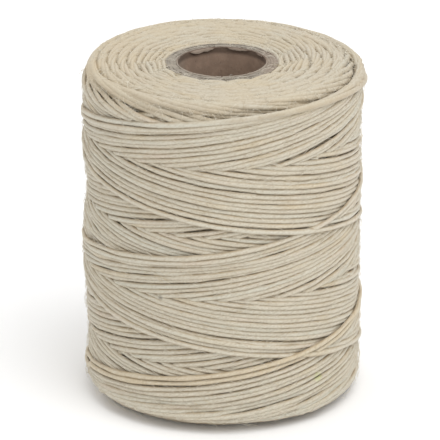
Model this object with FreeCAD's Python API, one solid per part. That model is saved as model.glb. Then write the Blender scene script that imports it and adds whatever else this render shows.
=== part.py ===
"""Spool of waxed linen thread: one long thread cross-wound on a spiral paper tube.

The tube is five paper strips, each wound as a helix with its edges butted, glued one inside the
next. The thread is one length. It is modelled as the stages in which it goes on: the first cover
on bare paper, the inner and outer windings, the last cover that shows, and the tucked end.
A cover is one full set of crossing strokes, two threads thick.

Frame: origin at the centre of the base, +Z up along the bore. Units are millimetres.
"""

import FreeCAD
import Part
import math
import os

# Driving dimensions
BORE_RADIUS = 9.0
CORE_WALL = 2.4
CORE_LENGTH = 70.1
WINDING_HEIGHT = 70.8
RADIUS_AT_BASE = 28.0
RADIUS_AT_TOP = 28.5
BASE_SHOULDER = 4.6
TOP_SHOULDER = 3.2
THREAD_THICKNESS = 0.92

# Paper plies, from the bore outwards
LINER_THICKNESS = 0.30
BOARD_PLIES = 3
GLUE_LINE = 0.02
SEAM_LEAD = 60.0
SEAM_GAP = 0.25
SEAM_OVERRUN = 2.0
SEAM_STAGGER_DEG = 72.0
BOARD_THICKNESS = (CORE_WALL - 2 * LINER_THICKNESS - (BOARD_PLIES + 1) * GLUE_LINE) / BOARD_PLIES
CORE_RADIUS = BORE_RADIUS + CORE_WALL

# Winding stages
COVER_THICKNESS = 2 * THREAD_THICKNESS
STAGE_GAP = 0.02
INNER_WINDING_RADIUS = 19.8
TURN_ADVANCE = 28.1

# Tucked end of the thread, lying along an up-going turn at the back
END_LENGTH = 24.0
END_HEIGHT = 27.8
END_AZIMUTH_DEG = 98.5
END_SINK = 0.30
END_CLEARANCE = 0.03

ORIGIN = FreeCAD.Vector(0, 0, 0)
UP = FreeCAD.Vector(0, 0, 1)


def save(shape, node):
    """Writes one node as parts/NODE.step."""
    assert shape.isValid() and len(shape.Solids) == 1, node
    shape.exportStep(f"parts/{node}.step")
    print(f"{node}: {shape.Volume:.1f} mm3")


def tube(inner, outer, height):
    """A plain tube standing on the base plane."""
    return Part.makeCylinder(outer, height).cut(Part.makeCylinder(inner, height))


def seam_cutter(inner, outer):
    """The helical gap between the butted edges of one wound strip."""
    height = CORE_LENGTH + 2 * SEAM_OVERRUN
    middle = (inner + outer) / 2
    deep = (outer - inner) + 0.2
    helix = Part.makeHelix(SEAM_LEAD, height, middle)
    climb = math.atan2(SEAM_LEAD, 2 * math.pi * middle)
    half_rise = SEAM_GAP / 2 / math.cos(climb)
    corners = [
        FreeCAD.Vector(middle - deep / 2, 0, -half_rise),
        FreeCAD.Vector(middle + deep / 2, 0, -half_rise),
        FreeCAD.Vector(middle + deep / 2, 0, half_rise),
        FreeCAD.Vector(middle - deep / 2, 0, half_rise),
    ]
    section = Part.makePolygon(corners + corners[:1])
    cutter = Part.Wire(helix.Edges).makePipeShell([section], True, True)
    cutter.translate(FreeCAD.Vector(0, 0, -SEAM_OVERRUN))
    return cutter


def wound_strip(inner, outer, stagger_deg):
    """One paper ply: a strip wound as a helix and trimmed square at both ends of the tube."""
    cutter = seam_cutter(inner, outer)
    cutter.rotate(ORIGIN, UP, stagger_deg)
    return tube(inner, outer, CORE_LENGTH).cut(cutter)


def make_core():
    """The plies, each glued on the one before it."""
    plies = [("core_inner_liner", LINER_THICKNESS)]
    plies += [(f"core_board_ply_{n + 1}", BOARD_THICKNESS) for n in range(BOARD_PLIES)]
    plies += [("core_outer_liner", LINER_THICKNESS)]
    inner = BORE_RADIUS
    for n, (node, thickness) in enumerate(plies):
        save(wound_strip(inner, inner + thickness, n * SEAM_STAGGER_DEG), node)
        inner += thickness + GLUE_LINE


def quarter(centre_r, centre_z, radius, side):
    """A shoulder arc from the side of the winding to its end face. Side is +1 at the top, -1 at the base."""
    half = radius * math.sqrt(0.5)
    return Part.Arc(
        FreeCAD.Vector(centre_r + radius, 0, centre_z),
        FreeCAD.Vector(centre_r + half, 0, centre_z + side * half),
        FreeCAD.Vector(centre_r, 0, centre_z + side * radius),
    ).toShape()


def stack(depth):
    """The solid inside the winding's surface at this depth below the outside: round shoulders, flat ends."""
    base_r = RADIUS_AT_BASE - depth
    top_r = RADIUS_AT_TOP - depth
    top_z = WINDING_HEIGHT
    foot = FreeCAD.Vector(0, 0, 0)
    head = FreeCAD.Vector(0, 0, top_z)
    edges = [
        Part.makeLine(foot, FreeCAD.Vector(base_r - BASE_SHOULDER, 0, 0)),
        quarter(base_r - BASE_SHOULDER, BASE_SHOULDER, BASE_SHOULDER, -1),
        Part.makeLine(
            FreeCAD.Vector(base_r, 0, BASE_SHOULDER),
            FreeCAD.Vector(top_r, 0, top_z - TOP_SHOULDER),
        ),
        quarter(top_r - TOP_SHOULDER, top_z - TOP_SHOULDER, TOP_SHOULDER, 1),
        Part.makeLine(FreeCAD.Vector(top_r - TOP_SHOULDER, 0, top_z), head),
        Part.makeLine(head, foot),
    ]
    outline = Part.Wire(Part.__sortEdges__(edges))
    return Part.Face(outline).revolve(ORIGIN, UP, 360)


def tucked_end(radius, overrun):
    """A short length of thread on the winding's side, climbing as the turns beside it do."""
    side = (RADIUS_AT_TOP - RADIUS_AT_BASE) * END_HEIGHT / WINDING_HEIGHT + RADIUS_AT_BASE
    middle = side - END_SINK
    length = END_LENGTH + 2 * overrun
    rise = length * TURN_ADVANCE / math.hypot(TURN_ADVANCE, 2 * math.pi * middle)
    helix = Part.makeHelix(TURN_ADVANCE, rise, middle)
    climb = math.atan2(TURN_ADVANCE, 2 * math.pi * middle)
    along = FreeCAD.Vector(0, math.cos(climb), math.sin(climb))
    section = Part.Wire([Part.makeCircle(radius, FreeCAD.Vector(middle, 0, 0), along)])
    body = Part.Wire(helix.Edges).makePipeShell([section], True, True)
    body.translate(FreeCAD.Vector(0, 0, END_HEIGHT - rise / 2))
    swept_deg = math.degrees(rise / TURN_ADVANCE * 2 * math.pi)
    body.rotate(ORIGIN, UP, END_AZIMUTH_DEG - 90.0 - swept_deg / 2)
    return body


def make_thread():
    """The winding, stage by stage from the paper outwards, and the tucked end."""
    end_radius = THREAD_THICKNESS / 2
    starts_at = CORE_RADIUS + STAGE_GAP
    first_ends = starts_at + COVER_THICKNESS
    save(tube(starts_at, first_ends, WINDING_HEIGHT), "thread_first_cover")
    save(
        tube(first_ends + STAGE_GAP, INNER_WINDING_RADIUS, WINDING_HEIGHT),
        "thread_inner_winding",
    )
    bore = Part.makeCylinder(INNER_WINDING_RADIUS + STAGE_GAP, WINDING_HEIGHT)
    save(stack(COVER_THICKNESS + STAGE_GAP).cut(bore), "thread_outer_winding")
    groove = tucked_end(end_radius + END_CLEARANCE, END_CLEARANCE)
    save(stack(0.0).cut(stack(COVER_THICKNESS)).cut(groove), "thread_last_cover")
    save(tucked_end(end_radius, 0.0), "thread_tucked_end")


os.makedirs("parts", exist_ok=True)
make_core()
make_thread()
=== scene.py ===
"""Spool of waxed linen thread, wound turn by turn on a spiral paper tube.

The thread is one length. Its path is worked out by laying it on the package sample by sample,
each turn resting on the turns already there, and the turns are then swept as tubes.
"""

import math

import bmesh
import bpy
import numpy as np
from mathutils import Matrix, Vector


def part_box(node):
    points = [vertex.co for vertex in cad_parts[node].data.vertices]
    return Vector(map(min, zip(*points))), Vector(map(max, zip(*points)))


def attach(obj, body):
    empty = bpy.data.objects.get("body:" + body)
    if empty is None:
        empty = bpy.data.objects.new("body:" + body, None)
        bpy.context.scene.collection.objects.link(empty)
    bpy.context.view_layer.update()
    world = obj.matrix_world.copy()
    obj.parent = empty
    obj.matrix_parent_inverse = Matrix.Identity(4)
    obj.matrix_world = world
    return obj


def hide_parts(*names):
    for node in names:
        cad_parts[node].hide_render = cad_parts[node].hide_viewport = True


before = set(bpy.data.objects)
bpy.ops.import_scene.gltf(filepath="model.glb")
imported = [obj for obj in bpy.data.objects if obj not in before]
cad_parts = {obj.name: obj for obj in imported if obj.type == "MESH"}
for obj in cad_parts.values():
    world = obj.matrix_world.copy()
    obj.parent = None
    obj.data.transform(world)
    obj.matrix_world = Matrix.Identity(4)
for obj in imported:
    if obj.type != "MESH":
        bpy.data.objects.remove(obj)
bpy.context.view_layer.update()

bl_info = {
    "name": "Waxed Thread Spool",
    "version": (1, 0, 0),
    "blender": (4, 5, 0),
    "location": "3D View > Sidebar > Thread Spool",
    "description": "Winds a spool of waxed linen thread on a paper tube and lights it",
    "category": "Object",
}

MM = 0.001
TURN = 2 * math.pi


def reach(node):
    """Outer radius and top of a construction node, in metres."""
    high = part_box(node)[1]
    return high[0], high[2]


CORE_RADIUS, TUBE_TOP = reach("core_outer_liner")
LINER_THICKNESS = 0.3 * MM
BORE_RADIUS = reach("core_inner_liner")[0] - LINER_THICKNESS
PACKAGE_RADIUS, PACKAGE_TOP = reach("thread_last_cover")

# ---------------------------------------------------------------- properties


def length(name, about, default):
    """A size property in metres."""
    return bpy.props.FloatProperty(
        name=name, description=about, default=default, subtype="DISTANCE", unit="LENGTH", precision=5
    )


def degrees(name, about, default):
    """An angle property, with its default in degrees."""
    return bpy.props.FloatProperty(
        name=name, description=about, default=math.radians(default), subtype="ANGLE", unit="ROTATION"
    )


def number(name, about, default):
    """A plain number property."""
    return bpy.props.FloatProperty(name=name, description=about, default=default)


def whole(name, about, default):
    """A whole number property."""
    return bpy.props.IntProperty(name=name, description=about, default=default)


def colour(name, about, default):
    """A colour property."""
    return bpy.props.FloatVectorProperty(
        name=name, description=about, default=default, subtype="COLOR", size=3, min=0.0, max=1.0
    )


class ThreadSizes(bpy.types.PropertyGroup):
    """The thread and how the winder lays it."""

    width: length("Thread width", "Width of the thread as it lies, along the package", 1.12 * MM)
    thickness: length("Thread thickness", "Thickness of the thread as it lies", 0.9 * MM)
    turn_advance: length("Advance per turn", "How far the guide moves in one turn of the tube", 28.1 * MM)
    spacing: length("Spacing of turns", "Distance between a turn and the next one laid beside it", 0.97 * MM)
    strokes_meet: length("Height of the crossings", "Height of one line where strokes meet", 42.4 * MM)
    top_shoulder: length("Top shoulder", "Radius of the rounded top edge of the winding", 3.2 * MM)
    base_shoulder: length("Base shoulder", "Radius of the rounded bottom edge of the winding", 4.6 * MM)
    build_radius: length("Build radius", "Mean radius of the side when the winder stops", 28.15 * MM)
    slip: length("Slip", "How much further from the top the last strokes turn back", 0.4 * MM)
    dish: length("Dish", "How much lower the first turns lie at the ends than the last", 0.7 * MM)
    tuck: length("Tuck", "How far the thread's end is pushed in under its neighbours", 1.2 * MM)
    tuck_length: length("Tuck length", "Length of thread that goes under", 9.0 * MM)
    end_length: length("Tucked end", "Length of the last stretch, which is tucked under", 24.0 * MM)
    wander: length("Wander", "How far a turn strays from its place", 0.1 * MM)
    corner: length("Corner", "Radius of the flattened section's corners", 0.38 * MM)
    in_sight: length("In sight", "How deep a turn may lie and still be seen between others", 1.8 * MM)
    newest_crossing: degrees("Newest crossing", "Azimuth of the last crossing, from the front to +X", 45.25)
    seat: number("Seat", "How much of a turn's width rests on the turns under it", 0.43)
    packing: number("Packing", "Share of the unevenness that each pair of strokes presses out", 0.4)
    settling: number("Settling", "Share of the last unevenness that has sunk in", 0.5)
    loose_turns: number("Loose turns", "Number of turns at the end that lie looser and prouder", 6.0)
    loosened: number("Loosened", "How far the loose turns go back to where they were laid, as a share", 0.25)
    end_bulge: number("End bulge", "How much fuller a turn is where it shows at the ends", 0.28)
    shoulder_bulge: number("Shoulder bulge", "How much fuller a turn is near the ends of the side", 0.1)
    early_turns: number("Early turns", "Number of turns laid before strokes are set side by side", 350.0)
    early_step: number("Early step", "How many spacings apart strokes are in the early turns", 2.05)
    last_turns: number("Last turns", "Turns laid after the last time the guide leaves the base", 1.0)
    corner_steps: whole("Corner steps", "Straight steps round each corner of the section", 1)
    seed: whole("Seed", "Seed for everything that strays", 7)


# ---------------------------------------------------------------- winding

# Grid that keeps the package's surface while it is wound: columns round it, and mm in a row
COLUMNS = 480
CELL = 0.2

# Samples of thread laid at a time, and how many further on are looked at
CHUNK = COLUMNS // 4
AHEAD = COLUMNS // 12

# How much wider the side is near the top than near the base, and how far outside the construction's
# its shape lies, in mm
TAPER = 0.5
PROUD = 0.1

# Turns in a pair of strokes before the spacing is taken off, and a limit on all turns
PAIR_TURNS = 5
MOST_TURNS = 1700

# How the thread turns back at the end of a stroke, in mm: range of the bend's softness, range of how
# far it stops short, and the distance over which its pull fades
SOFTNESS = (3.6, 4.0)
STOPS_SHORT = (0.0, 0.12)
PULL_FADES = 8.0

# Bends are tighter deep in the package: least share of the softness, the radius in mm where it begins
# to grow, and over how much more it is whole
TIGHTEST = 0.3
SOFTENS_AT = 24.5
SOFTENS_OVER = 3.0

# Lengths in mm over which the dish fades, the slip grows, the stray fades and one end's rule gives way
# to the other's, and the number of turns between two values of the stray
DISH_FADES = 8
SLIP_GROWS = 0.8
STRAY_FADES = 6.0
ENDS_SHARE = 10
STRAY_STEP = 0.12

# Near the ends a turn bears on less of its width: least share, and the mm over which it would grow by one
NARROWEST_SEAT = 0.4
SEAT_GROWS = 14

# How the package sinks: heights in mm between which its radius is measured, how many pairs of strokes
# still move, the depth in mm at which nothing moves, how far in mm a hollow may be filled, and how far
# from an end, in mm, that begins and over how much more it is whole
SIDE_SPAN = (15, 55)
PAIRS_MOVING = 40
SINKS_TO = 2.5
FILLS_BY = 0.5
FILLS_FROM = 3
FILLS_OVER = 4


def smooth_noise(rng, count, span):
    """Random values whose neighbours agree over a few entries, with a spread of about one."""
    bell = np.hanning(span + 2)[1:-1]
    return np.convolve(rng.normal(size=count + span), bell / np.sqrt((bell**2).sum()), "same")[:count]


def end_distance(reach_away, offset, soft, nearest):
    """Height above the package's end where the guide turns back.

    Far from the turn the stroke is straight and would reach the end at offset. Near it the thread
    slips round a bend of the given softness and comes no nearer than nearest.
    """
    away = np.sqrt(reach_away**2 + soft**2)
    pull = (offset + soft - nearest) * np.exp(-(away - soft) / PULL_FADES)
    return offset + away - pull


def rounding(radius, outside, shoulder):
    """How far the end of a stroke has drawn back at this radius, to round the package's edge."""
    inset = min(max(radius - (outside - shoulder), 0.0), shoulder)
    return shoulder - math.sqrt(shoulder**2 - inset**2)


def edge_rounding(radius, rows, top_shoulder, base_shoulder, outside_top, outside_base):
    """How far the side has fallen away towards each end, row by row, when the package is this large."""
    z = np.arange(rows) * CELL
    fall = np.zeros(rows)
    ends = ((z[-1] - z, top_shoulder, outside_top), (z, base_shoulder, outside_base))
    for from_end, shoulder, outside in ends:
        short = np.clip(shoulder - from_end, 0, shoulder)
        arc = shoulder - np.sqrt(shoulder**2 - short**2)
        fall += np.clip(arc - (outside - radius), 0, None)
    return fall


def box_mean(field, half, axis):
    """Running mean over 2 * half + 1 entries. The field carries on round the package, and ends along it."""
    if axis == 0:
        field = np.concatenate([field[-half:], field, field[: half + 1]])
        total = np.cumsum(field, axis=0)
        return (total[2 * half + 1 :] - total[: -2 * half - 1]) / (2 * half + 1)
    total = np.cumsum(np.pad(field, ((0, 0), (half + 1, half))), axis=1)
    return (total[:, 2 * half + 1 :] - total[:, : -2 * half - 1]) / (2 * half + 1)


def broad(ground, columns=10, rows=9, bare=4):
    """The package's radius with single turns smoothed away. The last few rows at each end don't count."""
    counts = np.ones_like(ground)
    counts[:, :bare] = 0
    counts[:, ground.shape[1] - bare :] = 0
    radius = ground * counts
    for _ in range(2):
        radius = box_mean(box_mean(radius, columns, 0), rows, 1)
        counts = box_mean(counts, rows, 1)
    return radius / counts


def taut(need, step, radius, held):
    """Radius of a tight thread over supports: it bridges gaps and touches only the high ones."""
    along = np.arange(len(need)) * step
    sag = along**2 / (2 * radius)
    height = need - sag
    height[0] = held
    heights = height.tolist()
    places = along.tolist()
    touch = [0]
    for i in range(1, len(heights)):
        while len(touch) > 1:
            a, b = touch[-2], touch[-1]
            rise_b = (heights[b] - heights[a]) * (places[i] - places[a])
            rise_i = (heights[i] - heights[a]) * (places[b] - places[a])
            if rise_b > rise_i:
                break
            touch.pop()
        touch.append(i)
    return np.interp(along, along[touch], height[touch]) + sag


def guide_cycles(sizes, turns):
    """How many pairs of strokes the guide has made after these turns of the tube."""
    late = PAIR_TURNS - sizes.spacing / sizes.turn_advance
    early = PAIR_TURNS - sizes.early_step * sizes.spacing / sizes.turn_advance
    return turns / late + np.minimum(turns, sizes.early_turns) * (1 / early - 1 / late)


class Winder:
    """A winding machine at work: the thread it has laid and the package's surface, in mm."""

    def __init__(self, sizes):
        self.sizes = sizes
        self.width, self.thick = sizes.width / MM, sizes.thickness / MM
        self.core, self.height = CORE_RADIUS / MM, PACKAGE_TOP / MM
        self.advance = sizes.turn_advance / MM
        self.per_pair = PAIR_TURNS - sizes.spacing / MM / self.advance
        self.recent = int(PAIRS_MOVING * self.per_pair) * COLUMNS
        self.outside_top = PACKAGE_RADIUS / MM + PROUD
        self.outside_base = self.outside_top - TAPER
        self.top_shoulder, self.base_shoulder = sizes.top_shoulder / MM, sizes.base_shoulder / MM

        rng = np.random.default_rng(sizes.seed)
        strokes = int(2 * MOST_TURNS / self.per_pair) + 4
        self.stroke_stray = rng.normal(size=strokes) * sizes.wander / MM
        self.stroke_soft = rng.uniform(*SOFTNESS, size=strokes)
        self.stroke_short = rng.uniform(*STOPS_SHORT, size=strokes)
        self.stray = smooth_noise(rng, int(MOST_TURNS / STRAY_STEP) + 10, 5) * sizes.wander / MM

        self.rows = int(round(self.height / CELL)) + 1
        half_rows = int(math.ceil(self.width / 2 / CELL)) + 1
        self.beside = np.arange(-half_rows, half_rows + 1)
        from_end = np.minimum(np.arange(self.rows), self.rows - 1 - np.arange(self.rows)) * CELL
        self.hollow = -FILLS_BY * np.clip((from_end - FILLS_FROM) / FILLS_OVER, 0, 1)
        self.mid = slice(*(int(z / CELL) for z in SIDE_SPAN))

        self.ground = np.full((COLUMNS, self.rows), self.core)
        self.radius, self.held = self.core, self.core + self.thick / 2
        self.wanted = self.radius
        self.z = np.empty((MOST_TURNS + 10) * COLUMNS)
        self.rho = np.empty_like(self.z)
        self.row = np.empty(len(self.z), int)
        self.laid = 0

    def guide(self, turns):
        """Height at which the guide puts the thread after these turns of the tube."""
        sizes = self.sizes
        cycle = guide_cycles(sizes, turns)
        part = cycle - np.floor(cycle)
        from_top = np.abs(part - 0.5) * self.per_pair * self.advance
        from_base = np.minimum(part, 1 - part) * self.per_pair * self.advance
        top_turn = (2 * np.floor(cycle) + 1).astype(int)
        base_turn = (2 * np.round(cycle)).astype(int)
        dish = sizes.dish / MM * max(1 - (self.radius - self.core) / DISH_FADES, 0.0)
        slip = sizes.slip / MM * min(max((self.radius - sizes.build_radius / MM) / SLIP_GROWS + 1, 0.0), 1.0)
        drawn_top = rounding(self.radius, self.outside_top, self.top_shoulder) + dish + slip
        drawn_base = rounding(self.radius, self.outside_base, self.base_shoulder)
        grown = min(max((self.radius - SOFTENS_AT) / SOFTENS_OVER, 0.0), 1.0)
        soft = self.stroke_soft * (TIGHTEST + (1 - TIGHTEST) * grown)
        nearest = self.width / 2 + self.stroke_short
        top_apex = sizes.strokes_meet / MM + self.advance
        base_apex = top_apex - self.per_pair * (self.advance / 2)
        below_top = end_distance(
            from_top, self.height - top_apex, soft[top_turn] + drawn_top, nearest[top_turn] + drawn_top
        )
        above_base = end_distance(
            from_base, base_apex, soft[base_turn] + drawn_base, nearest[base_turn] + drawn_base
        )
        share = np.clip((from_base - from_top) / ENDS_SHARE + 0.5, 0, 1)
        z = share * (self.height - below_top) + (1 - share) * above_base
        free = np.minimum(1, np.minimum(from_top, from_base) / STRAY_FADES)
        stray = np.interp(turns, np.arange(len(self.stray)) * STRAY_STEP, self.stray)
        z += (self.stroke_stray[np.floor(2 * cycle).astype(int)] + stray) * free
        return np.clip(z, self.width / 2, self.height - self.width / 2)

    def lay(self, count):
        """Lays this many samples of thread, tight, over what is there, and looks a little further ahead."""
        first, width, thick = self.laid, self.width, self.thick
        sample = np.arange(first, first + CHUNK + AHEAD + 1)
        z = self.guide(sample / COLUMNS)
        column = sample % COLUMNS
        row = np.round(z / CELL).astype(int)[:, None] + self.beside
        aside = row * CELL - z[:, None]
        inside = (np.abs(aside) < width / 2) & (row >= 0) & (row < self.rows)
        row = np.clip(row, 0, self.rows - 1)
        back = np.sqrt(np.clip(1 - (aside / (width / 2)) ** 2, 0, None)) * thick / 2
        to_end = np.minimum(z, self.height - z)[:, None]
        bearing = np.clip(NARROWEST_SEAT + to_end / SEAT_GROWS, NARROWEST_SEAT, 1)
        seat_half = width / 2 * self.sizes.seat * bearing
        belly = np.sqrt(np.clip(1 - (aside / seat_half) ** 2, 0, None)) * thick / 2
        under = np.where(np.abs(aside) < seat_half, self.ground[column[:, None], row] + belly, -1e9).max(1)
        rho = taut(under, TURN * self.radius / COLUMNS, self.radius, self.held)

        self.held = rho[count]
        new = slice(first, first + count)
        self.z[new], self.rho[new] = z[:count], rho[:count]
        self.row[new] = np.round(z[:count] / CELL)
        inside = inside[:count]
        at = np.broadcast_to(column[:count, None], inside.shape)[inside], row[:count][inside]
        self.ground[at] = np.maximum(self.ground[at], (rho[:count, None] + back[:count])[inside])
        self.laid += count

    def sink(self, level):
        """Sinks the surface to a level. The turns near it move in with it, and deeper ones move less."""
        moving = slice(max(self.laid - self.recent, 0), self.laid)
        column = np.arange(moving.start, moving.stop) % COLUMNS
        row = self.row[moving]
        depth = self.ground[column, row] - self.rho[moving] - self.thick / 2
        self.rho[moving] -= (self.ground - level)[column, row] * np.clip(1 - depth / SINKS_TO, 0, 1)
        self.ground = level

    def press(self):
        """Presses the package a little towards its shape, as each new pair of strokes does."""
        self.radius = self.ground.mean(0)[self.mid].mean()
        self.wanted = self.radius - edge_rounding(
            self.radius, self.rows, self.top_shoulder, self.base_shoulder, self.outside_top, self.outside_base
        )
        proud = np.clip(broad(self.ground) - self.wanted, self.hollow, None)
        self.sink(np.clip(self.ground - proud * self.sizes.packing, self.core, self.wanted + self.thick))

    def settle(self):
        """Lets the finished package sink once more. Its last turns stay looser than the rest."""
        sizes = self.sizes
        loose = slice(self.laid - int(sizes.loose_turns * COLUMNS), self.laid)
        newest = np.minimum(self.rho[loose], self.radius + self.thick)
        proud = np.clip(broad(self.ground, columns=6, rows=5, bare=2) - self.wanted, self.hollow, None)
        self.sink(np.minimum(self.ground - proud * sizes.settling, self.wanted + 0.7 * self.thick))
        self.rho[loose] += sizes.loosened * (newest - self.rho[loose])


def wind(sizes):
    """Lays the thread from bare paper to the last turn.

    Returns the height and the radius of each sample and the radius of the package's surface, in mm.
    """
    winder = Winder(sizes)
    pairs_done, last = 0, MOST_TURNS * COLUMNS
    while True:
        winder.lay(min(CHUNK, last - winder.laid))
        if winder.laid == last:
            break
        turns = winder.laid / COLUMNS
        cycles = guide_cycles(sizes, turns)
        if int(cycles) == pairs_done:
            continue
        pairs_done = int(cycles)
        winder.press()
        if winder.radius > sizes.build_radius / MM and last == MOST_TURNS * COLUMNS:
            since_base = (cycles - pairs_done) * winder.per_pair
            last = int((turns - since_base + sizes.last_turns) * COLUMNS)
    winder.settle()
    return winder.z[:last], np.clip(winder.rho[:last], winder.core + winder.thick / 2, None), winder.ground


def azimuths(sizes, z):
    """Azimuth of each sample, turned so that the newest up stroke crosses the meeting line where asked."""
    turns = np.arange(len(z)) / COLUMNS
    cycle = guide_cycles(sizes, turns)
    last_up = math.floor(cycle[-1]) - 1
    rising = np.flatnonzero((cycle > last_up) & (cycle < last_up + 0.5))
    crossing = rising[np.argmin(np.abs(z[rising] - sizes.strokes_meet / MM))]
    return (turns - turns[crossing]) * TURN + sizes.newest_crossing


def turned_from(angle, azimuth):
    """Angle from an azimuth given in degrees, the short way round."""
    return (angle - math.radians(azimuth) + math.pi) % TURN - math.pi


def swell(angle, z, bumps):
    """Radial unevenness of the finished package at these places."""
    total = np.zeros(len(z))
    for azimuth, height, wide, tall, proud in bumps:
        turned = turned_from(angle, azimuth) / math.radians(wide)
        total += proud * np.exp(-(turned**2) - ((z - height) / tall) ** 2)
    return total


# Bulges and dents of the side: azimuth, height, half-width, half-height and depth, in degrees and mm
BUMPS = (
    (-90, 44.5, 40, 5.0, -0.55),
    (-90, 31.0, 40, 5.0, 0.3),
    (-90, 23.0, 35, 5.0, -0.3),
    (-90, 12.0, 40, 5.0, -0.8),
    (-90, 3.0, 35, 3.0, -0.3),
    (90, 66.0, 40, 4.0, 0.7),
    (90, 46.0, 35, 5.0, 0.2),
    (90, 18.0, 35, 4.0, 0.2),
    (170, 52.0, 45, 6.0, 0.5),
    (200, 22.0, 40, 5.0, -0.4),
)


def buried(z, rho, ground, thick, ring_width=0.3, base_hides=0.4):
    """How deep each sample lies under the side or the nearer end of the package, in mm.

    The ends are looked at ring by ring. Base hides is added at the base, which rests on the ground.
    """
    column = np.arange(len(z)) % COLUMNS
    row = np.clip(np.round(z / CELL).astype(int), 0, ground.shape[1] - 1)
    under_side = ground[column, row] - rho - thick / 2
    ring = (rho / ring_width).astype(int)
    top = np.full((COLUMNS, ring.max() + 2), -1.0)
    base = np.full((COLUMNS, ring.max() + 2), 1e3)
    np.maximum.at(top, (column, ring), z)
    np.minimum.at(base, (column, ring), z)
    under_end = np.minimum(top[column, ring] - z, z - base[column, ring] + base_hides)
    return np.clip(np.minimum(under_side, under_end), 0, None)


def thin_out(z, rho, seen, fine=0.95, coarse=4.0):
    """Indices of the samples to sweep through: close together where the thread shows, far apart inside."""
    step = np.hypot(np.diff(z, prepend=z[0]), TURN / COLUMNS * rho)
    pace = np.cumsum(step / np.where(seen, fine, coarse))
    return np.flatnonzero(np.diff(np.floor(pace), prepend=-1) > 0)


# ---------------------------------------------------------------- node trees


def named(sockets, identifier):
    """The socket with this identifier."""
    return next(socket for socket in sockets if socket.identifier == identifier)


def set_socket(tree, socket, value):
    """Gives a socket a number, or links it to a value, to a node's first output or to a socket."""
    if isinstance(value, Value):
        value = value.socket
    elif isinstance(value, bpy.types.Node):
        value = value.outputs[0]
    if isinstance(value, bpy.types.NodeSocket):
        tree.links.new(value, socket)
    else:
        socket.default_value = value


def add_node(tree, kind, values=None, **settings):
    """Adds a node with these settings, and gives its sockets, by name or number, their values or links."""
    node = tree.nodes.new(kind)
    for name, value in settings.items():
        setattr(node, name, value)
    for name, value in (values or {}).items():
        set_socket(tree, node.inputs[name], value)
    return node


class Value:
    """A number in a shader, so that maths on it reads as plain Python."""

    def __init__(self, tree, socket):
        self.tree = tree
        self.socket = socket

    def math(self, operation, *others):
        """Adds one Math node. Others are values or numbers."""
        node = add_node(self.tree, "ShaderNodeMath", dict(enumerate((self, *others))), operation=operation)
        return Value(self.tree, node.outputs[0])

    def __add__(self, other):
        return self.math("ADD", other)

    __radd__ = __add__

    def __mul__(self, other):
        return self.math("MULTIPLY", other)

    def __sub__(self, other):
        return self.math("SUBTRACT", other)

    def __rsub__(self, other):
        return (self * -1.0) + other

    def __truediv__(self, other):
        return self.math("DIVIDE", other)

    def size(self):
        """The number without its sign."""
        return self.math("ABSOLUTE")

    def rises(self, low, high):
        """Eases from 0 at low to 1 at high."""
        values = {"Value": self, "From Min": low, "From Max": high}
        node = add_node(self.tree, "ShaderNodeMapRange", values, interpolation_type="SMOOTHSTEP")
        return Value(self.tree, node.outputs["Result"])

    def falls(self, low, high):
        """Eases from 1 at low to 0 at high."""
        return 1 - self.rises(low, high)


class Finish:
    """One material: its tree, the pattern places it reads, and its shader."""

    def __init__(self, name):
        self.material = bpy.data.materials.new(name)
        self.material.use_nodes = True
        self.tree = self.material.node_tree
        self.tree.nodes.clear()
        self.place = add_node(self.tree, "ShaderNodeTexCoord").outputs["Object"]

    def noise(self, at, scale, detail=3.0, rough=0.55):
        """Fractal noise at a place, as a value around 0.5."""
        values = {"Vector": at, "Scale": scale, "Detail": detail, "Roughness": rough}
        return Value(self.tree, add_node(self.tree, "ShaderNodeTexNoise", values).outputs[0])

    def attribute(self, name):
        """A value that the mesh carries."""
        node = add_node(self.tree, "ShaderNodeAttribute", attribute_name=name)
        return Value(self.tree, node.outputs["Fac"])

    def vector(self, x, y, z=0.0):
        """Three values as one place."""
        return add_node(self.tree, "ShaderNodeCombineXYZ", {"X": x, "Y": y, "Z": z})

    def parts(self, vector):
        """A place as three values."""
        node = add_node(self.tree, "ShaderNodeSeparateXYZ", {"Vector": vector})
        return [Value(self.tree, node.outputs[axis]) for axis in "XYZ"]

    def distance(self, point):
        """Distance from a point of the object."""
        node = add_node(self.tree, "ShaderNodeVectorMath", {0: self.place, 1: point}, operation="DISTANCE")
        return Value(self.tree, node.outputs["Value"])

    def coats(self, base, *coats):
        """Lays colours over a base colour in turn, each as far as its mask says."""
        for mask, shade in coats:
            node = add_node(self.tree, "ShaderNodeMix", data_type="RGBA")
            set_socket(self.tree, named(node.inputs, "Factor_Float"), mask)
            for place, paint in (("A_Color", base), ("B_Color", shade)):
                paint = paint if isinstance(paint, bpy.types.NodeSocket) else (*paint, 1.0)
                set_socket(self.tree, named(node.inputs, place), paint)
            base = named(node.outputs, "Result_Color")
        return base

    def bump(self, height, distance, strength=0.6):
        """Surface direction with this relief on it."""
        values = {"Height": height, "Strength": strength, "Distance": distance}
        return add_node(self.tree, "ShaderNodeBump", values)

    def shader(self, **sockets):
        """Ends the tree in a Principled shader."""
        values = {name.replace("_", " "): value for name, value in sockets.items()}
        shader = add_node(self.tree, "ShaderNodeBsdfPrincipled", values)
        add_node(self.tree, "ShaderNodeOutputMaterial", {"Surface": shader})
        return self.material


# ---------------------------------------------------------------- finishes


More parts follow.
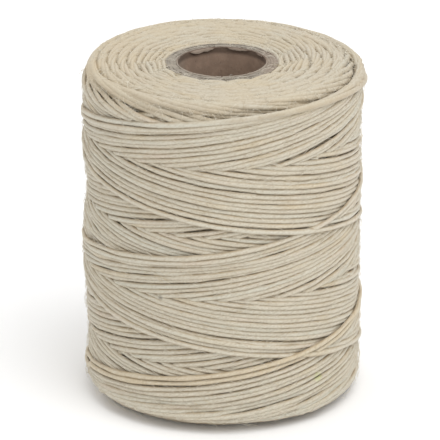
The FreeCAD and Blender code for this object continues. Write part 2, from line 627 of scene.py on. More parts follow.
class SpoolColours(bpy.types.PropertyGroup):
    """Colours of the thread and the paper tube."""

    linen: colour("Linen", "Main colour of the waxed thread", (0.56, 0.508, 0.402))
    flax: colour("Flax", "Colour of its yellower stretches", (0.565, 0.468, 0.31))
    pale: colour("Pale", "Colour of its paler, greyer stretches", (0.565, 0.548, 0.459))
    rose: colour("Rose", "Colour of its warmer stretches", (0.595, 0.495, 0.388))
    bright: colour("Bright", "Colour of its lightest fibres", (0.65, 0.61, 0.52))
    # This colour is painted shade, on two faces of each turn and on the turns that lie deep.
    flank_shade: colour("Flank", "Colour of its sides, where wax has gathered", (0.345, 0.255, 0.15))
    # This colour is painted shade in the grooves between the strands and over the top. It is also the colour
    # of darker fibres and grain.
    fibre_and_groove_shade: colour("Groove", "Colour between the strands of the twist", (0.36, 0.28, 0.18))
    board: colour("Board", "Colour of the tube's cut board", (0.295, 0.256, 0.208))
    liner: colour("Liner", "Colour of the paper that lines the bore", (0.285, 0.2, 0.146))
    torn: colour("Torn", "Colour of the liner's torn edge", (0.225, 0.19, 0.152))
    # This colour is the painted shadow under the torn edge, and also the colour of dark specks in the paper
    # and of a husk in the thread.
    speck_and_shadow: colour("Soil", "Colour of the liner just under its torn edge", (0.07, 0.045, 0.03))
    stray_dye: colour("Stray dye", "Colour of a wisp of dyed fibre caught in the thread", (0.52, 0.56, 0.22))
    fibre: colour("Fibre", "Colour of loose fibres", (0.74, 0.69, 0.58))


# Share of the way round the section to the middle of its first flank
FLANK_AT = 1.5 / 8

# Places of a wisp of dyed fibre and of a speck of husk caught in the thread
WISP_AT = (19.6 * MM, -20.3 * MM, 9.4 * MM)
HUSK_AT = (-12.5 * MM, -25.3 * MM, 28.7 * MM)


def waxed_linen(colours, thread_end, strands=3, twist_pitch=5.5 * MM, pair_length=0.88):
    """Waxed linen thread: faint twist, fibres along it, and colour that drifts along the length.

    Thread end is the length at which the thread ends, and pair length the length of one pair of
    strokes. The last up strokes are yellower. Painted shade darkens the grooves between the strands,
    the sides of each turn and the turns that lie deep. The top has less of this shade between the
    turns, so it is paler there, but the whole top gets a little painted shade; it is also yellower to the
    left.
    """
    finish = Finish("waxed_linen_thread")
    along, around, _ = finish.parts(add_node(finish.tree, "ShaderNodeUVMap", uv_map="lay"))
    turned = around + along / twist_pitch
    x, _, z = finish.parts(finish.place)
    at_top = z.rises(PACKAGE_TOP - 4.8 * MM, PACKAGE_TOP - 1.8 * MM)

    def streaks(step, across, detail=2.0, rough=0.55):
        """Noise that changes once in a step along the thread."""
        return finish.noise(finish.vector(along / step, across), 1.0, detail, rough)

    strand = (turned * (strands * math.pi)).math("SINE").size()
    fibres = streaks(1.7 * MM, turned * 16.0, 4.0, 0.75)
    slubs = streaks(5.0 * MM, turned * 3.0)
    drift = streaks(22.0 * MM, 3.0)
    patches = streaks(60.0 * MM, 9.0)
    # Patches in which the painted shade on the flanks is stronger.
    shade_patchiness = streaks(4.0 * MM, 5.0).rises(0.3, 0.62)
    grain = finish.noise(finish.place, 2400.0, 2.0, 0.6)
    cloud = finish.noise(finish.place, 70.0, 2.0)
    yellow = ((along - (thread_end - back - 0.08)).size().falls(0.07, 0.13) for back in (0.0, pair_length))
    # Mask of painted shade on two opposite faces of each turn, its flanks. Near the top the sign turns over,
    # and the shade falls on the other two faces.
    flank_shade = ((around - FLANK_AT) * TURN * 2.0).math("COSINE") * (1 - at_top * 2.0)
    some_fibres = fibres.rises(0.3, 0.6)
    body = finish.coats(
        colours.linen,
        (drift.rises(0.52, 0.7) * 0.75, colours.flax),
        (drift.falls(0.3, 0.45) * 0.7, colours.rose),
        (patches.rises(0.48, 0.66) * 0.8, colours.pale),
        (cloud.rises(0.35, 0.7) * 0.25, colours.pale),
        *((stretch * 0.6, colours.flax) for stretch in yellow),
        (slubs.rises(0.55, 0.75) * 0.4, colours.pale),
        # Painted shade in the grooves between the strands of the twist.
        (strand.falls(0.0, 0.45) * 0.2, colours.fibre_and_groove_shade),
        (fibres.rises(0.52, 0.72) * 0.6, colours.fibre_and_groove_shade),
        (fibres.falls(0.3, 0.46) * 0.6, colours.bright),
        (grain.rises(0.52, 0.75) * 0.5, colours.fibre_and_groove_shade),
        (grain.falls(0.25, 0.48) * 0.5, colours.bright),
        # Painted shade on turns that lie deep between others, much weaker on the top.
        (finish.attribute("buried").rises(0.3, 1.2) * (1 - at_top * 0.9) * 0.6, colours.flank_shade),
        # Painted shade on the flanks of each turn, patchy and weaker on the top.
        (flank_shade.rises(-0.8, 0.9) * (0.3 + shade_patchiness * 0.6) * (1 - at_top * 0.5), colours.flank_shade),
        (at_top * (cloud.rises(0.46, 0.6) * 0.3 + x.falls(-24.0 * MM, -8.0 * MM) * 0.4), colours.flax),
        # Painted shade: the whole top is made a little darker.
        (at_top * 0.17, colours.fibre_and_groove_shade),
        (finish.distance(WISP_AT).falls(0.6 * MM, 1.5 * MM) * some_fibres * 0.55, colours.stray_dye),
        (finish.distance(HUSK_AT).falls(0.2 * MM, 0.8 * MM) * some_fibres * 0.8, colours.speck_and_shadow),
    )
    relief = strand.rises(0.0, 0.9) * 0.5 + fibres * 0.8 + slubs * 0.5
    return finish.shader(
        Base_Color=body,
        Roughness=0.5 + fibres * 0.25,
        Normal=finish.bump(relief, 0.06 * MM),
        Sheen_Weight=0.06,
        Sheen_Roughness=0.5,
    )


def loose_fibre(colours):
    """Fine fibre that stands off the thread."""
    finish = Finish("loose_fibre")
    shade = finish.noise(finish.place, 300.0, 2.0)
    body = finish.coats(colours.fibre, (shade.rises(0.5, 0.7), colours.flax))
    return finish.shader(Base_Color=body, Roughness=0.6 + shade * 0.1)


def paper(name, main, other, colours, shadowed_wall=None):
    """Pressed paper: short fibres, soft blotches and a few dark specks. The tube is browner to the right.

    The last argument is the radius beyond which the wall just under the upper edge gets a painted
    shadow at the back, under the torn edge. The torn edge that leans in from there has a colour of its own.
    """
    finish = Finish(name)
    blotch = finish.noise(finish.place, 450.0, 3.0, 0.5)
    pulp = finish.noise(finish.place, 2600.0, 3.0, 0.7)
    speck = finish.noise(finish.place, 1500.0, 1.0)
    x, y, z = finish.parts(finish.place)
    coats = [
        (blotch.rises(0.35, 0.7), other),
        (pulp.rises(0.5, 0.75) * 0.14, colours.pale),
        (speck.rises(0.66, 0.76) * 0.3, colours.speck_and_shadow),
        (x.rises(6.5 * MM, 9.5 * MM) * 0.35, colours.liner),
    ]
    if shadowed_wall:
        wall = (x * x + y * y).math("POWER", 0.5).rises(shadowed_wall - 0.1 * MM, shadowed_wall)
        cut = z.rises(TUBE_TOP - 1.2 * MM, TUBE_TOP - 0.7 * MM)
        # Heights of the painted shadow under the torn edge.
        shadow_band = z.rises(TUBE_TOP - 1.8 * MM, TUBE_TOP - 0.9 * MM)
        coats += [
            ((1 - wall) * 0.7, colours.torn),
            (x.falls(-8.6 * MM, -6.8 * MM) * 0.4, colours.board),
            (y.falls(-3.0 * MM, 3.0 * MM) * cut * 0.85, colours.board),
            # Painted shadow under the torn edge, on the wall at the back.
            (wall * shadow_band * y.rises(-2.0 * MM, 4.0 * MM) * (0.55 + blotch * 0.4), colours.speck_and_shadow),
        ]
    return finish.shader(
        Base_Color=finish.coats(main, *coats),
        Roughness=0.78 + blotch * 0.15,
        Normal=finish.bump(blotch * 0.6 + pulp * 0.4, 0.12 * MM),
    )


# ---------------------------------------------------------------- trees that make shapes


def tree_inputs(tree, first, inputs, last):
    """Gives a tree its geometry input, its other inputs with their kinds, and its output."""
    face = tree.interface
    face.new_socket(first, in_out="INPUT", socket_type="NodeSocketGeometry")
    for name, kind in inputs.items():
        face.new_socket(name, in_out="INPUT", socket_type="NodeSocket" + kind)
    face.new_socket(last, in_out="OUTPUT", socket_type="NodeSocketGeometry")
    return add_node(tree, "NodeGroupInput").outputs


def end_tree(tree, shape, material):
    """Ends a tree with real geometry in one material."""
    made = add_node(tree, "GeometryNodeRealizeInstances", {"Geometry": shape})
    coated = add_node(tree, "GeometryNodeSetMaterial", {"Geometry": made, "Material": material})
    add_node(tree, "NodeGroupOutput", {0: coated})
    return tree


def run_tree(piece, tree, values):
    """Runs a tree on a piece with these inputs, and keeps the result as the piece's plain mesh."""
    modifier = piece.modifiers.new(tree.name, "NODES")
    modifier.node_group = tree
    for item in tree.interface.items_tree:
        if item.in_out == "INPUT" and item.name in values:
            modifier[item.identifier] = values[item.name]
    graph = bpy.context.evaluated_depsgraph_get()
    made = bpy.data.meshes.new_from_object(piece.evaluated_get(graph))
    piece.modifiers.clear()
    old = piece.data
    piece.data = made
    made.name = piece.name
    bpy.data.meshes.remove(old)
    return piece


def place_in_scene(name, data):
    """Makes an object of a mesh, a lamp or a camera, and links it to the scene."""
    piece = bpy.data.objects.new(name, data)
    bpy.context.scene.collection.objects.link(piece)
    return piece


def own(piece, slot, *nodes):
    """Puts a piece on the one body, in place of its construction nodes. The slot is not used."""
    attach(piece, "root")
    if nodes:
        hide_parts(*nodes)


# ---------------------------------------------------------------- paper tube


class TubeSizes(bpy.types.PropertyGroup):
    """The spiral-wound paper tube."""

    seam_lead: length("Seam lead", "Rise of a strip in one turn round the tube", 60.0 * MM)
    seam_gap: length("Seam gap", "Gap between the butted edges of a strip", 0.25 * MM)
    ragged: length("Ragged edge", "Roughness of the trimmed ends", 0.07 * MM)
    burr: length("Burr", "How far the torn edge of the liner may lean over the bore", 1.25 * MM)
    hang: number("Hang", "How far the torn edge hangs down, as a share of how far it leans in", 0.9)
    seed: whole("Seed", "Seed for the ragged edges", 11)


PLIES = ("core_inner_liner", "core_board_ply_1", "core_board_ply_2", "core_board_ply_3", "core_outer_liner")
GLUE_LINE = 0.02 * MM
FIRST_SEAM = math.radians(-60)

# Where the torn liner leans over the bore: azimuth and half-width in degrees, share of the burr
BURR = ((-150, 18, 0.5), (157, 18, 0.26), (118, 14, 0.15), (60, 25, 0.2), (-20, 40, 0.12))
LEAST_LEAN = 0.05 * MM
MOST_LEAN = 1.6 * MM


def round_noise(rng, knots, finer=8):
    """A smooth random line that closes on itself, read by azimuth."""
    values = rng.normal(size=knots)
    fine = np.fft.irfft(np.fft.rfft(values), knots * finer) * finer
    places = np.arange(knots * finer) * TURN / (knots * finer)
    return lambda angle: np.interp(angle % TURN, places, fine, period=TURN)


def trimmed_edge(rng, top, sink, ragged):
    """Height of a strip's trimmed end by azimuth: a little below the top of the tube, and rough."""
    wave, fine = round_noise(rng, 40), round_noise(rng, 160)
    return lambda angle: np.minimum(
        top - sink + (0.6 * wave(angle) + 0.4 * fine(angle)) * ragged, top - 0.01 * MM
    )


def torn_edge(rng, burr):
    """How far the liner's torn edge leans over the bore, by azimuth."""
    tear, nick = round_noise(rng, 36), round_noise(rng, 120)

    def lean(angle):
        share = np.zeros_like(angle)
        for azimuth, wide, part in BURR:
            share += part * np.exp(-((turned_from(angle, azimuth) / math.radians(wide)) ** 4))
        share = np.clip(share, 0, 1)
        rough = (0.10 * tear(angle) + 0.02 * nick(angle)) * (0.3 + share)
        return np.clip((share + rough) * burr, LEAST_LEAN, MOST_LEAN)

    return lean


def paper_strip(name, inner, outer, start, top, sizes, lean=None, columns=420):
    """A strip wound as a helix, trimmed at both ends of the tube, as one closed mesh.

    Top gives the height of its upper end by azimuth. Lean gives how far that end is folded over the bore.
    """
    lead, gap = sizes.seam_lead, sizes.seam_gap
    turned = np.linspace(-TURN + 1e-3, TURN * TUBE_TOP / lead, int(columns * (1 + TUBE_TOP / lead)))
    azimuth = turned + start
    low = np.clip(lead * turned / TURN + gap / 2, 0, None)
    edge = lead * (turned / TURN + 1) - gap / 2
    ends = top(azimuth)
    high = np.minimum(edge, ends)
    inside = high - low > 0.02 * MM
    azimuth, low, edge, ends, high = (a[inside] for a in (azimuth, low, edge, ends, high))
    rows = 12 if lean is None else 30
    share = 1 - (1 - np.linspace(0, 1, rows)) ** 2.2
    mid = (inner + outer) / 2
    z = low[:, None] + (high - low)[:, None] * share
    r = np.full_like(z, mid)
    if lean is not None:
        trimmed = np.clip((edge - ends) / (2.0 * MM), 0, 1)
        lean_in = lean(azimuth) * trimmed * trimmed * (3 - 2 * trimmed)
        fold = np.linspace(0, 1, 7)[1:]
        bend = lean_in[:, None] * np.sin(fold * math.pi / 2)
        drop = lean_in[:, None] * sizes.hang * (fold**2)
        r = np.concatenate([r, mid - bend], 1)
        z = np.concatenate([z, high[:, None] - drop], 1)
    along_r, along_z = np.gradient(r, axis=1), np.gradient(z, axis=1)
    size = np.maximum(np.hypot(along_r, along_z), 1e-9)
    half = (outer - inner) / 2
    out_r, out_z = along_z / size * half, -along_r / size * half
    ring_r = np.concatenate([r + out_r, (r - out_r)[:, ::-1]], 1)
    ring_z = np.concatenate([z + out_z, (z - out_z)[:, ::-1]], 1)
    ring_z = np.clip(ring_z, 0, TUBE_TOP)
    sine, cosine = np.sin(azimuth)[:, None], np.cos(azimuth)[:, None]
    return loft(name, np.stack([ring_r * sine, -ring_r * cosine, ring_z], 2))


def ring_quads(count, around):
    """Faces between rings of points that close on themselves."""
    here = np.arange(count - 1)[:, None] * around + np.arange(around)
    beside = np.arange(count - 1)[:, None] * around + (np.arange(around) + 1) % around
    return np.stack([here, beside, beside + around, here + around], 2).reshape(-1, 4).tolist()


def loft(name, rings):
    """A closed mesh through rings of points, capped at both ends."""
    count, around, _ = rings.shape
    mesh = bpy.data.meshes.new(name)
    caps = [list(range(around))[::-1], list(range((count - 1) * around, count * around))]
    mesh.from_pydata(rings.reshape(-1, 3).tolist(), [], ring_quads(count, around) + caps)
    work = bmesh.new()
    work.from_mesh(mesh)
    bmesh.ops.remove_doubles(work, verts=work.verts, dist=0.003 * MM)
    bmesh.ops.recalc_face_normals(work, faces=work.faces)
    work.to_mesh(mesh)
    work.free()
    mesh.shade_smooth()
    mesh.set_sharp_from_angle(angle=math.radians(50))
    return place_in_scene(name, mesh)


class MakeTube(bpy.types.Operator):
    """Winds the five paper strips of the tube, one inside the next, and tears the liner's edge"""

    bl_idname = "spool.make_tube"
    bl_label = "Make the paper tube"

    def execute(self, context):
        sizes = context.scene.spool_tube
        colours = context.scene.spool_colours
        rng = np.random.default_rng(sizes.seed)
        wall = BORE_RADIUS - LINER_THICKNESS / 2
        liner = paper("liner_paper", colours.liner, [c * 1.25 for c in colours.liner], colours, wall)
        board = paper("core_board", colours.board, [c * 0.8 for c in colours.board], colours)
        inner = BORE_RADIUS
        for place, node in enumerate(PLIES):
            outer, node_top = reach(node)
            sunk = 0.08 * MM * (place % 2) + 0.1 * MM
            top = trimmed_edge(rng, node_top, sunk, sizes.ragged)
            lined = node == "core_inner_liner"
            lean = torn_edge(rng, sizes.burr) if lined else None
            start = TURN * place / len(PLIES) + FIRST_SEAM
            piece = paper_strip(node + "_strip", inner, outer, start, top, sizes, lean)
            piece.data.materials.append(liner if lined else board)
            own(piece, "liner_paper" if lined else "core_board", node)
            inner = outer + GLUE_LINE
        return {"FINISHED"}


# ---------------------------------------------------------------- thread


def sweep_tree():
    """Node tree that sweeps a flattened round section along a line of points.

    The points carry outwards, the direction away from the package's axis, and girth, the section's scale.
    """
    tree = bpy.data.node_groups.new("Sweep thread", "GeometryNodeTree")
    inputs = dict.fromkeys(("Corner", "Width", "Thickness"), "Float")
    given = tree_inputs(tree, "Line", inputs | {"Corner steps": "Int", "Material": "Material"}, "Thread")
    read = "GeometryNodeInputNamedAttribute"
    outwards = add_node(tree, read, {"Name": "outwards"}, data_type="FLOAT_VECTOR").outputs["Attribute"]
    girth = add_node(tree, read, {"Name": "girth"}, data_type="FLOAT").outputs["Attribute"]
    line = add_node(tree, "GeometryNodeMeshToCurve", {"Mesh": given["Line"]})
    line = add_node(tree, "GeometryNodeSetCurveNormal", {"Curve": line, "Normal": outwards}, mode="FREE")
    flat = add_node(
        tree,
        "GeometryNodeCurvePrimitiveQuadrilateral",
        {"Width": given["Thickness"], "Height": given["Width"]},
        mode="RECTANGLE",
    )
    rounded = {"Curve": flat, "Radius": given["Corner"], "Limit Radius": True, "Count": given["Corner steps"]}
    section = add_node(tree, "GeometryNodeFilletCurve", rounded, mode="POLY")
    swept = {"Curve": line, "Profile Curve": section, "Scale": girth, "Fill Caps": True}
    tube = add_node(tree, "GeometryNodeCurveToMesh", swept)
    smooth = add_node(tree, "GeometryNodeSetShadeSmooth", {"Geometry": tube})
    return end_tree(tree, smooth, given["Material"])


def line_piece(name, points, attributes, tree, values):
    """An object whose mesh is one line of points, with values on them, swept by a node tree."""
    mesh = bpy.data.meshes.new(name)
    count = len(points)
    mesh.vertices.add(count)
    mesh.vertices.foreach_set("co", np.ascontiguousarray(points, np.float32).ravel())
    mesh.edges.add(count - 1)
    ends = np.stack([np.arange(count - 1), np.arange(1, count)], 1)
    mesh.edges.foreach_set("vertices", ends.ravel().astype(np.int32))
    for label, numbers in attributes.items():
        kind, field = ("FLOAT_VECTOR", "vector") if numbers.ndim == 2 else ("FLOAT", "value")
        data = mesh.attributes.new(label, kind, "POINT").data
        data.foreach_set(field, np.ascontiguousarray(numbers, np.float32).ravel())
    mesh.update()
    return run_tree(place_in_scene(name, mesh), tree, values)


def lay_out(piece, along, sides, row_shape=0.35, margin=0.08):
    """Gives a swept thread its pattern map and a packed map for baking.

    The pattern map runs along the thread in metres and once round it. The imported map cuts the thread
    into equal lengths and stacks them as rows, with a margin round each. Row shape is the thread's
    width in the map, in mm for each side.
    """
    mesh = piece.data
    corner = np.empty(len(mesh.loops), np.int32)
    starts, totals = np.empty((2, len(mesh.polygons)), np.int32)
    mesh.loops.foreach_get("vertex_index", corner)
    mesh.polygons.foreach_get("loop_start", starts)
    mesh.polygons.foreach_get("loop_total", totals)
    face = np.repeat(np.arange(len(starts)), totals)
    ring, spot = corner // sides, (corner % sides).astype(float)
    first_ring = np.minimum.reduceat(ring, starts)
    low = np.minimum.reduceat(spot, starts)
    high = np.maximum.reduceat(spot, starts)
    wraps = ((high - low) > sides / 2) & (totals == 4)
    spot[(spot == 0) & wraps[face]] = sides
    place = along[ring]
    total = along[-1] - along[0]
    rows = max(4, int(math.sqrt(total / (sides * row_shape * MM))))
    row_length = total / rows * 1.0001
    row = np.floor((along[first_ring] - along[0]) / row_length)[face]
    inside = np.clip(((place - along[0]) - row * row_length) / row_length, 0, 1.02)
    lay = np.stack([place, spot / sides], 1)
    packed = np.stack([inside / 1.03, (row + margin + (1 - 2 * margin) * spot / sides) / rows], 1)
    for label, places in (("lay", lay), ("OFBake", packed)):
        mesh.uv_layers.new(name=label).data.foreach_set("uv", places.astype(np.float32).ravel())


# Most points in one piece, and how many samples count as neighbours when the depth is smoothed
MOST_POINTS = 12000
NEIGHBOURS = 9

# How much the thread's girth varies, the length over which it does, and how far from an end of the
# package, in mm, turns are fuller: across the ends, and along the side
UNEVENNESS = 0.07
GIRTH_STEP = 3 * MM
END_REACH = 2.0
SHOULDER_REACH = 8.0

# How far the thread's end is pushed up as it goes under, in mm
TUCK_RISE = 0.4


def girths(sizes, laid, z, rho):
    """How full the thread is at each sample: uneven, and fuller where it shows at the package's ends."""
    rng = np.random.default_rng(sizes.seed + 1)
    knots = np.arange(0, laid[-1] + GIRTH_STEP, GIRTH_STEP)
    girth = 1 + UNEVENNESS * np.interp(laid, knots, smooth_noise(rng, len(knots), 2))
    from_end = np.minimum(z, PACKAGE_TOP / MM - z)
    crown = np.clip((PACKAGE_RADIUS / MM - sizes.top_shoulder / MM - rho) / 1.5 + 0.5, 0, 1)
    girth += sizes.end_bulge * crown * np.exp(-((from_end / END_REACH) ** 2))
    return girth + sizes.shoulder_bulge * np.exp(-((from_end / SHOULDER_REACH) ** 2))


def stage_ends(sizes, rho, laid):
    """Each stage of the winding: its pieces' name, its construction node and its last sample."""
    turns = np.array_split(rho, len(rho) // COLUMNS)
    turn_radius = np.maximum.accumulate([turn.mean() for turn in turns])
    for label, node in (
        ("first_cover_turns", "thread_first_cover"),
        ("inner_turns", "thread_inner_winding"),
        ("outer_turns", "thread_outer_winding"),
    ):
        yield label, node, int(np.searchsorted(turn_radius, reach(node)[0] / MM)) * COLUMNS
    yield "last_cover_turns", "thread_last_cover", int(np.searchsorted(laid, laid[-1] - sizes.end_length))
    yield "tucked_end", "thread_tucked_end", len(laid) - 1


class WindThread(bpy.types.Operator):
    """Winds the whole thread on the tube and sweeps it, stage by stage"""

    bl_idname = "spool.wind_thread"
    bl_label = "Wind the thread"

    def execute(self, context):
        sizes = context.scene.spool_thread
        z, rho, ground = wind(sizes)
        angle = azimuths(sizes, z)
        depth = buried(z, rho, ground, sizes.thickness / MM)
        seen = np.convolve(depth < sizes.in_sight / MM, np.ones(NEIGHBOURS), "same") > 0
        # The smoothed depth is also read by the thread's material, as buried, to paint shade on deep turns.
        depth = np.convolve(depth, np.ones(NEIGHBOURS) / NEIGHBOURS, "same")
        laid = np.cumsum(np.hypot(np.diff(z, prepend=z[0]), TURN / COLUMNS * rho)) * MM
        stages = list(stage_ends(sizes, rho, laid))
        keep = thin_out(z, rho, seen)

        core, outside = CORE_RADIUS / MM, PACKAGE_RADIUS / MM
        rho = rho + swell(angle, z, BUMPS) * np.clip((rho - core) / (outside - core), 0, 1) ** 2
        girth = girths(sizes, laid, z, rho)
        under = np.clip((laid - laid[-1]) / sizes.tuck_length + 1, 0, 1)
        rho -= sizes.tuck / MM * under * under * (3 - 2 * under)
        half = girth * sizes.width / MM / 2
        z = np.clip(z + TUCK_RISE * under, half, PACKAGE_TOP / MM - half)
        points = np.stack([rho * np.sin(angle), -rho * np.cos(angle), z], 1) * MM
        outwards = np.stack([np.sin(angle), -np.cos(angle), np.zeros_like(angle)], 1)

        tree = sweep_tree()
        values = {
            "Corner steps": sizes.corner_steps,
            "Corner": sizes.corner,
            "Width": sizes.width,
            "Thickness": sizes.thickness,
            "Material": waxed_linen(context.scene.spool_colours, laid[-1]),
        }
        first = 0
        for label, node, last in stages:
            spots = keep[(keep >= first) & (keep <= last)]
            parts = math.ceil(len(spots) / MOST_POINTS)
            for part, chosen in enumerate(np.array_split(np.arange(len(spots)), parts)):
                run = spots[chosen[0] : chosen[-1] + 2]
                name = label if parts == 1 else f"{label}_{part + 1}"
                attributes = {"outwards": outwards[run], "girth": girth[run], "buried": depth[run]}
                piece = line_piece(name, points[run], attributes, tree, values)
                lay_out(piece, laid[run], 4 * (sizes.corner_steps + 1))
                own(piece, "waxed_linen", node)
            first = spots[-1]
        return {"FINISHED"}


# ---------------------------------------------------------------- loose fibres


class FibreSizes(bpy.types.PropertyGroup):
    """Loose fibres that stand off the thread and the torn paper."""

    fibre_length: length("Fibre length", "Length of a loose fibre", 2.2 * MM)
    lift: length("Lift", "How high a fibre arches over the thread", 0.22 * MM)
    fibre_width: length("Fibre width", "Thickness of a loose fibre", 0.06 * MM)
    tilt: number("Tilt", "How far a fibre may tilt out of the surface, in radians", 0.1)
    side_count: whole("Fibres on the side", "How many lie on the side", 7300)
    top_count: whole("Fibres on the top", "How many lie on the top", 3600)
    lip_count: whole("Fibres on the lip", "How many lie on the paper lip", 36)
    seed: whole("Seed", "Seed for where the fibres are", 5)


# How far fibres on the side turn away from the thread's run, in radians, and on the top and the lip
SIDE_SPIN = 0.7
ANY_SPIN = math.pi

# Smallest and largest size of a fibre
FIBRE_SCALES = (0.35, 1.25)


def fibre_tree():
    """Node tree that scatters arched fibres over a surface, flat along it."""
    tree = bpy.data.node_groups.new("Scatter fibres", "GeometryNodeTree")
    inputs = dict.fromkeys(("Density", "Length", "Lift", "Width", "Tilt", "Spin"), "Float")
    given = tree_inputs(tree, "Surface", inputs | {"Seed": "Int", "Material": "Material"}, "Fibres")

    def times(name, factor):
        return add_node(tree, "ShaderNodeMath", {0: given[name], 1: factor}, operation="MULTIPLY")

    def place(x=0.0, y=0.0, z=0.0):
        return add_node(tree, "ShaderNodeCombineXYZ", {"X": x, "Y": y, "Z": z})

    root = times("Lift", -0.6)
    bow = {
        "Resolution": 4,
        "Start": place(z=root),
        "Middle": place(times("Length", 0.5), times("Length", 0.22), times("Lift", 2.0)),
        "End": place(given["Length"], z=root),
    }
    arch = add_node(tree, "GeometryNodeCurveQuadraticBezier", bow)
    outline = {"Resolution": 3, "Radius": times("Width", 0.5)}
    ring = add_node(tree, "GeometryNodeCurvePrimitiveCircle", outline)
    swept = {"Curve": arch, "Profile Curve": ring, "Fill Caps": True}
    fibre = add_node(tree, "GeometryNodeCurveToMesh", swept)

    spots = {"Mesh": given["Surface"], "Density": given["Density"], "Seed": given["Seed"]}
    points = add_node(tree, "GeometryNodeDistributePointsOnFaces", spots, distribute_method="RANDOM")
    lean, back = times("Tilt", -1.0), times("Spin", -1.0)
    swing = {
        "Min": place(lean, lean, back),
        "Max": place(given["Tilt"], given["Tilt"], given["Spin"]),
        "Seed": given["Seed"],
    }
    spin = add_node(tree, "FunctionNodeRandomValue", swing, data_type="FLOAT_VECTOR")
    turn = add_node(tree, "FunctionNodeEulerToRotation", {"Euler": spin})
    turned = {"Rotation": points.outputs["Rotation"], "Rotate By": turn}
    facing = add_node(tree, "FunctionNodeRotateRotation", turned, rotation_space="LOCAL")
    grow = add_node(tree, "FunctionNodeRandomValue", {"Seed": given["Seed"]}, data_type="FLOAT")
    for identifier, scale in zip(("Min_001", "Max_001"), FIBRE_SCALES):
        named(grow.inputs, identifier).default_value = scale
    spread = {
        "Points": points,
        "Instance": fibre,
        "Rotation": facing,
        "Scale": named(grow.outputs, "Value_001"),
    }
    fibres = add_node(tree, "GeometryNodeInstanceOnPoints", spread)
    return end_tree(tree, fibres, given["Material"])


def turned_surface(name, profile, bumps=(), around=120):
    """A surface turned about the axis from points of (radius, height), facing outwards, with bumps on it."""
    angle = np.linspace(0, TURN, around, endpoint=False)
    rings = []
    for radius, height in profile:
        r = radius + swell(angle, np.full(around, height / MM), bumps) * MM
        rings.append(np.stack([r * np.sin(angle), -r * np.cos(angle), np.full(around, height)], 1))
    mesh = bpy.data.meshes.new(name)
    mesh.from_pydata(np.array(rings).reshape(-1, 3).tolist(), [], ring_quads(len(profile), around))
    return place_in_scene(name, mesh)


class RaiseFibres(bpy.types.Operator):
    """Scatters loose fibres over the side and top of the winding and over the paper lip"""

    bl_idname = "spool.raise_fibres"
    bl_label = "Raise loose fibres"

    def execute(self, context):
        sizes = context.scene.spool_fibres
        tree = fibre_tree()
        material = loose_fibre(context.scene.spool_colours)
        outside, top = context.scene.spool_thread.build_radius, PACKAGE_TOP
        side = [(outside + 0.2 * MM, z) for z in np.linspace(2 * MM, top - 4 * MM, 30)]
        crown = (
            (outside - 0.2 * MM, top - 3.2 * MM),
            (outside - 1.2 * MM, top - 1.6 * MM),
            (outside - 3.2 * MM, top - 0.3 * MM),
            (CORE_RADIUS, top - 0.8 * MM),
        )
        rim = ((CORE_RADIUS, TUBE_TOP), (BORE_RADIUS, TUBE_TOP))
        for name, profile, bumps, count, spin in (
            ("side_fibres", side, BUMPS, sizes.side_count, SIDE_SPIN),
            ("top_fibres", crown, (), sizes.top_count, ANY_SPIN),
            ("lip_fibres", rim, (), sizes.lip_count, ANY_SPIN),
        ):
            piece = turned_surface(name, profile, bumps)
            values = {
                "Density": count / sum(face.area for face in piece.data.polygons),
                "Length": sizes.fibre_length,
                "Lift": sizes.lift,
                "Width": sizes.fibre_width,
                "Tilt": sizes.tilt,
                "Spin": spin,
                "Seed": sizes.seed,
                "Material": material,
            }
            own(run_tree(piece, tree, values), "waxed_linen")
        return {"FINISHED"}


# ---------------------------------------------------------------- stage


class StageSizes(bpy.types.PropertyGroup):
    """Camera, floor and lights."""

    elevation: degrees("Camera elevation", "Angle of the camera above the floor", 21.2)
    distance: length("Camera distance", "From the camera to the middle of the spool", 1.0)
    lens: number("Lens", "Focal length in mm", 398.9)
    daylight: number("Surrounding light", "Strength of the even light", 0.86)
    key: number("Key light", "Power of the lamp in front in W", 5.2)
    fill: number("Fill light", "Power of the lamp behind in W", 1.4)
    lamp_width: length("Lamp width", "Width of each lamp's round face", 0.9)


# What the camera looks at, how far its picture is shifted to frame the spool, and where the lamps hang
MIDDLE = Vector((0.0, 0.0, 35.0 * MM))
SHIFT = (-2 / 440, 3 / 440)
KEY_AT = (0.35, -0.41, 0.92)
FILL_AT = (-0.5, 0.7, 0.75)


def lamp(name, place, wide, power):
    """A round lamp that shines at the middle of the spool."""
    light = bpy.data.lights.new(name, "AREA")
    light.shape = "DISK"
    light.size = wide
    light.energy = power
    holder = place_in_scene(name, light)
    holder.location = place
    holder.rotation_euler = (MIDDLE - Vector(place)).to_track_quat("-Z", "Y").to_euler()


def surroundings(daylight):
    """An even white world that looks fully white, and lights the spool with the strength of the daylight."""
    world = bpy.data.worlds.new("studio")
    world.use_nodes = True
    tree = world.node_tree
    tree.nodes.clear()
    path = add_node(tree, "ShaderNodeLightPath").outputs
    camera, glossy, passing = (
        Value(tree, path[f"Is {kind} Ray"]) for kind in ("Camera", "Glossy", "Transmission")
    )
    strength = (camera + glossy + passing).math("MINIMUM", 1.0) * (1.0 - daylight) + daylight
    sky = add_node(tree, "ShaderNodeBackground", {"Color": (1.0, 1.0, 1.0, 1.0), "Strength": strength})
    add_node(tree, "ShaderNodeOutputWorld", {"Surface": sky})
    return world


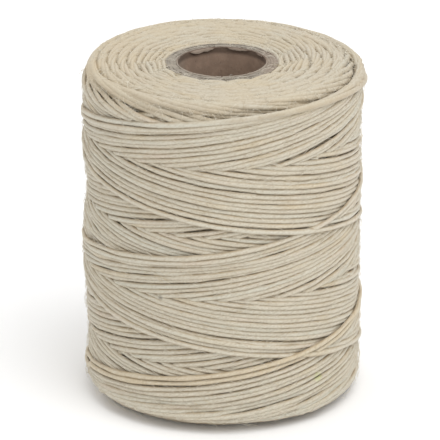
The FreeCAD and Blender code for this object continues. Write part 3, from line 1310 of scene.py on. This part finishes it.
class SetStage(bpy.types.Operator):
    """Puts down the floor and sets the lights, the surroundings and the camera"""

    bl_idname = "spool.set_stage"
    bl_label = "Set the stage"

    def execute(self, context):
        sizes = context.scene.spool_stage
        scene = context.scene
        bpy.ops.mesh.primitive_plane_add(size=4.0)
        floor = context.object
        floor.name = "floor"
        ground = Finish("white_floor")
        shade = ground.coats((0.96, 0.96, 0.96), (ground.noise(ground.place, 3.0), (0.97, 0.97, 0.97)))
        floor.data.materials.append(ground.shader(Base_Color=shade, Roughness=0.9))

        scene.world = surroundings(sizes.daylight)
        lamp("key", KEY_AT, sizes.lamp_width, sizes.key)
        lamp("fill", FILL_AT, sizes.lamp_width, sizes.fill)

        camera = place_in_scene("camera", bpy.data.cameras.new("camera"))
        camera.data.lens = sizes.lens
        camera.data.sensor_width = 36.0
        camera.data.clip_start = 0.05
        camera.data.shift_x, camera.data.shift_y = SHIFT
        away = Vector((0, -math.cos(sizes.elevation), math.sin(sizes.elevation)))
        camera.location = MIDDLE + away * sizes.distance
        camera.rotation_euler = (math.pi / 2 - sizes.elevation, 0, 0)
        scene.camera = camera
        scene.view_settings.view_transform = "Standard"
        return {"FINISHED"}


# ---------------------------------------------------------------- panel

GROUPS = {
    "spool_stage": StageSizes,
    "spool_tube": TubeSizes,
    "spool_thread": ThreadSizes,
    "spool_fibres": FibreSizes,
    "spool_colours": SpoolColours,
}
STEPS = (SetStage, MakeTube, WindThread, RaiseFibres)


class SpoolPanel(bpy.types.Panel):
    """Sizes, colours and steps of the thread spool"""

    bl_idname = "VIEW3D_PT_thread_spool"
    bl_label = "Thread Spool"
    bl_space_type = "VIEW_3D"
    bl_region_type = "UI"
    bl_category = "Thread Spool"

    def draw(self, context):
        for step in STEPS:
            self.layout.operator(step.bl_idname)
        for group, kind in GROUPS.items():
            box = self.layout.box()
            for name in kind.__annotations__:
                box.prop(getattr(context.scene, group), name)


def register():
    """Adds the steps, the sizes and the panel to Blender."""
    for cls in (*GROUPS.values(), *STEPS, SpoolPanel):
        bpy.utils.register_class(cls)
    for name, cls in GROUPS.items():
        setattr(bpy.types.Scene, name, bpy.props.PointerProperty(type=cls))


def unregister():
    """Takes them out again."""
    for name in GROUPS:
        delattr(bpy.types.Scene, name)
    for cls in (SpoolPanel, *reversed(STEPS), *reversed(GROUPS.values())):
        bpy.utils.unregister_class(cls)


def main():
    """Builds the spool."""
    register()
    bpy.ops.spool.set_stage()
    bpy.ops.spool.make_tube()
    bpy.ops.spool.wind_thread()
    bpy.ops.spool.raise_fibres()
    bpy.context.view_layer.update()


if __name__ == "__main__":
    main()
